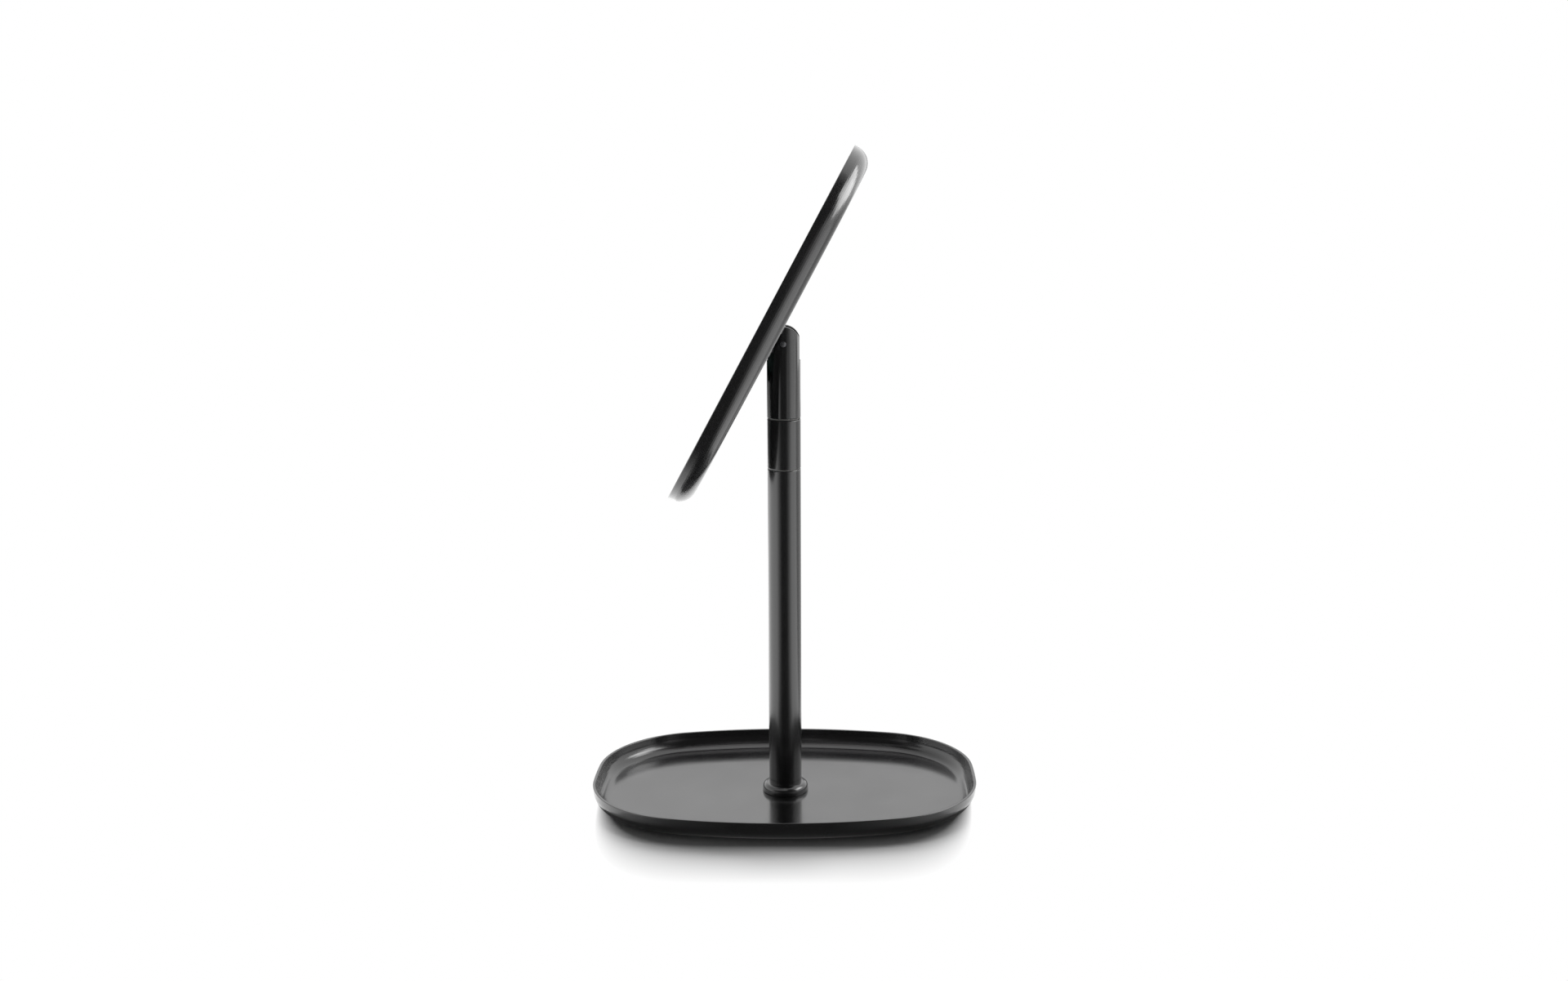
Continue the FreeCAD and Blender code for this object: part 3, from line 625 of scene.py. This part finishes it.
# %% Model the foot
dimple_room, dimple_room_height = 7.2 * MM, 2.8 * MM
screw_bore = 3.0 * MM
ring_inset = 0.4 * MM
ring_height, ring_round = 4.0 * MM, 2.8 * MM
shoulder_height = 4.3 * MM


def foot_mesh():
    """From the underside up over the ring and the spigot, and down the screw's bore."""
    low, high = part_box("foot_collar")
    ring = (high.x - low.x) / 2 - ring_inset
    tube_foot = tube_low.z
    return turned([(dimple_room, low.z), (ring, low.z), (ring, low.z + ring_height),
                   (stem_radius, low.z + shoulder_height), (stem_radius, tube_foot),
                   (tube_bore, tube_foot), (tube_bore, high.z), (screw_bore, high.z),
                   (screw_bore, low.z + dimple_room_height),
                   (dimple_room, low.z + dimple_room_height)],
                  [(2, ring_round, 10), (1, edge_break, 2)])


hand_over("foot_skin", foot_mesh(), "base", black_paint,
          ["foot_collar"])

# %% [markdown]
# ## The head, and small parts that keep their CAD mesh
# The head is cut from three sides, so its CAD mesh is already the right shape. A CAD
# mesh is loose triangles, which shade flat. A merged copy of it shades smoothly. Parts
# that hardly show keep the CAD mesh itself and only get a finish.

# %% Helper: a smooth copy of a CAD part
def smooth_copy(name, node, body, material):
    """Weld a copy of a CAD part's mesh and hand it over."""
    bm = bmesh.new()
    bm.from_mesh(frame["nodes"][node].data)
    bmesh.ops.remove_doubles(bm, verts=bm.verts, dist=weld)
    hand_over(name, bm, body, material, [node], sharp=30)


smooth_copy("head_skin", "head", "mast", black_paint)
smooth_copy("pin_ends", "pivot_pin", "mast", dark_steel)
smooth_copy("rivets_skin", "bracket_rivets", "mirror", black_paint)
smooth_copy("pad_skin", "foot_pad", "base", rubber)
smooth_copy("screw_skin", "base_screw", "base", zinc)

# %% Give the CAD parts that stay their finishes
finishes = {
    "screw_washer": zinc, "neck_bush": brass, "stop_ring": rubber, "collet": white_nylon,
    "guide_bush": white_nylon, "end_plug": zinc, "friction_discs": white_nylon,
    "hinge_bracket": zinc, "mirror_backing": foam}
for node, finish in finishes.items():
    mesh = frame["nodes"][node].data
    mesh.materials.clear()
    mesh.materials.append(finish)
print(len(finishes), "CAD parts keep their mesh")

# %% [markdown]
# ## Camera
# The camera stands in front of the tray's long side, a little to the right of the
# stem, and looks slightly down. That would put the object left of the middle and low,
# so a small lens shift brings it back without turning the camera. A level camera with
# a large shift would keep upright edges parallel, but cut the mirror's top off in
# other views.

# %% Place the camera
degrees_down = 8.32
camera_data = bpy.data.cameras.new("camera")
camera_data.sensor_width = 36
camera_data.lens = 36.2
camera_data.shift_x = -0.0299
camera_data.shift_y = -0.045
camera = bpy.data.objects.new("camera", camera_data)
camera.location = (22.8 * MM, -757.2 * MM, 300.5 * MM)
camera.rotation_euler = (math.radians(90 - degrees_down), 0, 0)
bpy.context.scene.collection.objects.link(camera)
bpy.context.scene.camera = camera
print("a lens of", round(camera_data.lens, 1), "mm looks down by", degrees_down, "degrees")

# %% [markdown]
# ## Studio
# Floor, sky and cards are materials that answer to where a point lies and to how it is
# looked at. So these helpers read a position, do a step of arithmetic on it and mix
# two shaders by the result. One tells whether light was seen or mirrored, so that what
# the lens sees and what lights the object can be chosen apart.

# %% Helpers: position, arithmetic, kinds of rays and mixing
def axes_of(tree, coordinates="Object"):
    """X, Y and Z of the shaded point, or of the sky's direction."""
    split = tree.nodes.new("ShaderNodeSeparateXYZ")
    place = tree.nodes.new("ShaderNodeTexCoord")
    tree.links.new(place.outputs[coordinates], split.inputs["Vector"])
    return [split.outputs[axis] for axis in "XYZ"]


def sum_of(tree, operation, first, second=0.0, clamp=False):
    """One step of arithmetic on sockets or plain numbers."""
    node = tree.nodes.new("ShaderNodeMath")
    node.operation = operation
    node.use_clamp = clamp
    for socket, value in zip(node.inputs, (first, second)):
        if isinstance(value, (int, float)):
            socket.default_value = value
        else:
            tree.links.new(value, socket)
    return node.outputs["Value"]


def seen_or_mirrored(tree):
    """1 for what the camera sees, straight, mirrored or through something clear."""
    rays = tree.nodes.new("ShaderNodeLightPath").outputs
    straight = sum_of(tree, "ADD", rays["Is Camera Ray"], rays["Is Glossy Ray"])
    return sum_of(tree, "ADD", straight, rays["Is Transmission Ray"], clamp=True)


def mix_into(out, tree, share, first, second):
    """Mix two shaders, the second by its share, and send them to the output node."""
    mix = tree.nodes.new("ShaderNodeMixShader")
    tree.links.new(share, mix.inputs["Fac"])
    tree.links.new(first, mix.inputs[1])
    tree.links.new(second, mix.inputs[2])
    tree.links.new(mix.outputs["Shader"], out.inputs["Surface"])


# %% [markdown]
# ### Floor
# A white floor under a white sky. A curved paper sweep is the usual way to lose the
# horizon, but it would fill the gloss with white. Here the floor is matt paint under
# and close to the object, so the contact shadow falls on it. A little further out it
# turns to even white, so that no horizon shows. The change follows a soft rectangle
# round the tray. It reaches further to the front, where the shadow falls, than to the
# sides and the rear. In gloss the matt part reaches 50 mm further, so that the tray's
# wall mirrors a dark floor.

# %% Paint the floor
matt_half_length = 93.9 * MM
matt_depth = 221.2 * MM
corner_power = 4.87
rear_stretch = 1.2
gloss_reach = 50 * MM
fade_start, fade_end = -157.6 * MM, -117.1 * MM
print("at the middle the floor fades from", round((matt_depth + fade_start) / MM, 1),
      "to", round((matt_depth + fade_end) / MM, 1), "mm in front")


def floor_material():
    """Matt white inside a soft rectangle, and glowing white outside it."""
    material, shader = new_material("studio_floor", (0.9, 0.9, 0.9), 0.9)
    tree = material.node_tree
    x, y, _ = axes_of(tree)
    aside = sum_of(tree, "DIVIDE", sum_of(tree, "ABSOLUTE", x), matt_half_length)
    full = sum_of(tree, "SUBTRACT", 1.0, sum_of(tree, "POWER", aside, corner_power))
    curve = sum_of(tree, "POWER", sum_of(tree, "MAXIMUM", full, 0.0), 1 / corner_power)
    along = sum_of(tree, "MAXIMUM", sum_of(tree, "MULTIPLY", y, -1.0),
                   sum_of(tree, "MULTIPLY", y, rear_stretch))
    away = sum_of(tree, "SUBTRACT", along, sum_of(tree, "MULTIPLY", curve, matt_depth))
    mirrored = tree.nodes.new("ShaderNodeLightPath").outputs["Is Glossy Ray"]
    away = sum_of(tree, "SUBTRACT", away, sum_of(tree, "MULTIPLY", mirrored, gloss_reach))
    share = sum_of(tree, "MULTIPLY", mapped(tree, away, fade_start, fade_end),
                   seen_or_mirrored(tree))
    white = tree.nodes.new("ShaderNodeEmission")
    mix_into(tree.nodes["Material Output"], tree, share,
             shader.outputs["BSDF"], white.outputs["Emission"])
    return material


# %% Lay the floor
floor_radius = 4
floor_bm = bmesh.new()
bmesh.ops.create_circle(floor_bm, cap_ends=True, segments=96, radius=floor_radius)
floor = object_of("floor", floor_bm, floor_material())
floor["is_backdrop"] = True
print("the floor is", 2 * floor_radius, "m across")

# %% [markdown]
# ### Light
# Gloss black shows the room, not its own colour, so the room does most of the work. A
# white sky and floor give the broad grey sheen. Two lamps, overhead and behind, throw
# a short, soft shadow forwards, and gloss doesn't mirror them. Two boxes on the
# right, a little higher than the mirror, are mirrored and light nothing else. They
# overlap as one bright streak near the mirror's top: the larger one gives its length,
# and the smaller one adds to its brightest part. A picture of a room could light all
# this at once, but no lamp in a picture can be moved by itself.

# %% Helper: a soft box aimed at the object
def soft_box(name, place, width, height, radiance, mirrored, aim):
    """An area lamp of a given brightness per area, for gloss alone or for all but gloss."""
    light = bpy.data.lights.new(name, "AREA")
    light.shape = "RECTANGLE"
    light.size = width
    light.size_y = height
    light.energy = radiance * math.pi * width * height
    lamp = bpy.data.objects.new(name, light)
    bpy.context.scene.collection.objects.link(lamp)
    lamp.location = place
    lamp.rotation_mode = "QUATERNION"
    lamp.rotation_quaternion = (Vector(place) - Vector(aim)).to_track_quat("Z", "Y")
    lamp.visible_camera = False
    lamp.visible_glossy = mirrored
    lamp.visible_diffuse = not mirrored
    print(name, "gives", round(light.energy, 2), "W")


# %% Hang the soft boxes
middle = (0, 0, 0.15)
mirror_top = (0.085, 0, 0.3)
soft_boxes = (
    # name, place, width, height, radiance, mirrored, aim
    ("top_box", (0, 0.9, 2.0), 0.7, 0.6, 9.0, False, middle),
    ("rear_box", (0, 2.0, 1.4), 0.7, 1.5, 13.0, False, middle),
    ("glint_box", (0.40, 0.01, 0.37), 0.22, 0.15, 1.4, True, mirror_top),
    ("glint_halo", (0.40, 0.01, 0.41), 0.40, 0.27, 3.0, True, mirror_top))
for row in soft_boxes:
    soft_box(*row)

# %% [markdown]
# ### Cards for the gloss
# A round black stem needs something dark to mirror, or it turns grey. Photographers
# put card round the object. A dark card lies on the floor in front and another stands
# behind the camera. Both clear away towards the sides. Pale boards lie left and right,
# a grey one lies behind right, and a dark strip stands far behind the tray. High over
# the front right hangs a dark card with a grey one behind it, which darkens the upper
# part of the mirror's edge softly. Only mirrored light sees any of them.

# %% Helpers: cards that only gloss can see
def glowing(name, brightness):
    """A plain glowing material."""
    material = bpy.data.materials.new(name)
    material.use_nodes = True
    nodes, links = material.node_tree.nodes, material.node_tree.links
    nodes.remove(nodes["Principled BSDF"])
    glow = nodes.new("ShaderNodeEmission")
    glow.inputs["Strength"].default_value = brightness
    links.new(glow.outputs["Emission"], nodes["Material Output"].inputs["Surface"])
    return material


def flat_card(name, material, left, right, front, rear, level, height):
    """A rectangle on the floor, or one that stands `height` high along its front."""
    bm = bmesh.new()
    corners = bmesh.ops.create_grid(bm, x_segments=1, y_segments=1, size=0.5)["verts"]
    bmesh.ops.translate(bm, vec=(0.5, 0.5, 0), verts=corners)  # a unit square from 0 to 1
    if height:
        bmesh.ops.rotate(bm, matrix=Matrix.Rotation(math.pi / 2, 3, "X"), verts=corners)
        bmesh.ops.scale(bm, vec=(right - left, 1, height), verts=corners)
    else:
        bmesh.ops.scale(bm, vec=(right - left, rear - front, 1), verts=corners)
    bmesh.ops.translate(bm, vec=(left, front, level), verts=corners)
    card = object_of(name, bm, material)
    card.visible_camera = False
    card.visible_diffuse = False
    card.visible_shadow = False
    card.visible_transmission = False
    card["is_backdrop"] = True


# %% Card that clears from the middle to the sides
dark_glow = 0.07
clear_from, clear_to = math.radians(18), math.radians(52)
widens_above, widening = 0.45, 2.4


def clearing_card():
    """Black straight ahead of the stem, and clear from about 50 degrees aside.

    Above 0.45 m the black part widens quickly, by 2.4 aside for each 1 up.
    """
    material = glowing("clearing_card", dark_glow)
    tree = material.node_tree
    x, y, z = axes_of(tree)
    high = sum_of(tree, "MAXIMUM", sum_of(tree, "SUBTRACT", z, widens_above), 0.0)
    aside = sum_of(tree, "SUBTRACT", sum_of(tree, "ABSOLUTE", x),
                   sum_of(tree, "MULTIPLY", high, widening))
    slope = sum_of(tree, "DIVIDE", aside, sum_of(tree, "ABSOLUTE", y))
    clear = tree.nodes.new("ShaderNodeBsdfTransparent")
    mix_into(tree.nodes["Material Output"], tree,
             mapped(tree, slope, math.tan(clear_from), math.tan(clear_to)),
             tree.nodes["Emission"].outputs["Emission"], clear.outputs["BSDF"])
    return material


# %% Lay, stand and hang the cards
clearing = clearing_card()
pale = glowing("pale_board", 1.35)
cards = (
    # name, finish, left, right, front, rear, level, height if it stands
    ("floor_flag", clearing, -3.3, 3.3, -2.6, -0.045, 0.0005, 0),
    ("standing_card", clearing, -3.6, 3.6, -1.5, -1.5, 0, 2.4),
    ("pale_board_right", pale, 0.11, 1.65, -0.8, 0.04, 0.0002, 0),
    ("pale_board_left", pale, -1.65, -0.11, -0.8, 0.5, 0.0002, 0),
    ("grey_board", glowing("grey_board", 0.55), 0.10, 1.65, 0.05, 2.2, 0.0002, 0),
    ("over_card", glowing("over_card", dark_glow), 0.3, 2.6, -1.5, -0.35, 2.4, 0),
    ("over_card_edge", glowing("over_card_edge", 0.4), 0.3, 2.6, -0.35, 0.1, 2.4, 0),
    ("rear_card", glowing("rear_card", 0.2), -0.35, 0.35, 1.5, 1.5, 0, 0.49))
for row in cards:
    flat_card(*row)
print(len(cards), "cards stand round the object")

# %% [markdown]
# ### Sky
# The lens sees an even white sky. Gloss and the mirror's glass see it fall to light
# grey high on the left, as a studio ceiling would, so that the glass doesn't vanish
# against the background. As a light the sky is weak, so that the lamps' shadow holds.
# The Standard view shows every tone as it is, and white as white.

# %% White sky
sky_light = 0.07
left_growth = -1.6
ceiling_from = 0.35


def studio_world():
    """A sky that is white to the lens, greyer to gloss and weak as a light."""
    world = bpy.data.worlds.new("studio")
    world.use_nodes = True
    tree = world.node_tree
    tree.nodes.clear()
    lighting = tree.nodes.new("ShaderNodeBackground")
    lighting.inputs["Strength"].default_value = sky_light
    white = tree.nodes.new("ShaderNodeBackground")
    for sky in (lighting, white):
        sky.inputs["Color"].default_value = (1, 1, 1, 1)
    x, _, z = axes_of(tree, "Generated")
    left = sum_of(tree, "MULTIPLY", x, left_growth, clamp=True)
    high = sum_of(tree, "SUBTRACT", z, ceiling_from, clamp=True)
    ceiling = sum_of(tree, "SUBTRACT", 1.0, sum_of(tree, "MULTIPLY", left, high))
    rays = tree.nodes.new("ShaderNodeLightPath").outputs
    tree.links.new(sum_of(tree, "MAXIMUM", ceiling, rays["Is Camera Ray"]),
                   white.inputs["Strength"])
    mix_into(tree.nodes.new("ShaderNodeOutputWorld"), tree, seen_or_mirrored(tree),
             lighting.outputs["Background"], white.outputs["Background"])
    return world


bpy.context.scene.world = studio_world()
bpy.context.scene.view_settings.view_transform = "Standard"
print("as a light the sky has", sky_light, "of its white")

# %% [markdown]
# ## Print the two boxes
# The CAD model's box and the dressed model's box are printed, one after the other.

# %% Print the two boxes
own_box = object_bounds()
for name, box in (("CAD", cad_box), ("dressed", own_box)):
    print(name, "box in mm:", in_mm(box))
